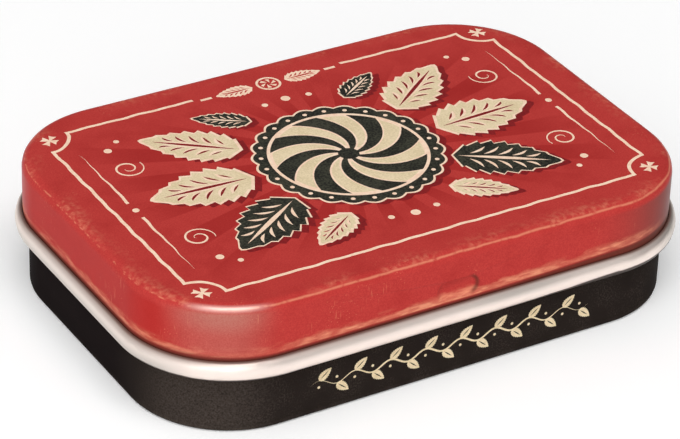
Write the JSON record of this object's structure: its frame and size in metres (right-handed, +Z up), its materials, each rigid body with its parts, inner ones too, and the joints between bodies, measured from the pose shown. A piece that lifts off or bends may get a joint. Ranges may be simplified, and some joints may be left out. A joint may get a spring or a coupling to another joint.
{
  "type": "mint tin",
  "caption": "Pocket mint tin: drawn tinplate base with a deep red printed lid, rolled bare-metal hem and a tongue-and-slot hinge along the back.",
  "frame": {"origin": "on the surface the tin stands on, under the middle of the tin", "axes": "+X along the long side, to the right of someone who faces the thumb dimple; -Y the front, with the dimple; +Y the hinge; +Z up"},
  "size_m": [0.0624, 0.0436, 0.0144],
  "materials": {
    "red_print": "satin lacquer over print",
    "black_print": "satin lacquer over print",
    "cream_print": "satin lacquer over print"
  },
  "bodies": {
    "base": {"base": "black_print"},
    "lid": {"lid": "red_print"}
  },
  "joints": [
    {"name": "lid_hinge", "type": "hinge", "parent": "base", "child": "lid", "pos_m": [0, 0.02036, 0.0059], "axis": [-1, 0, 0], "range_deg": [0, 105]}
  ]
}
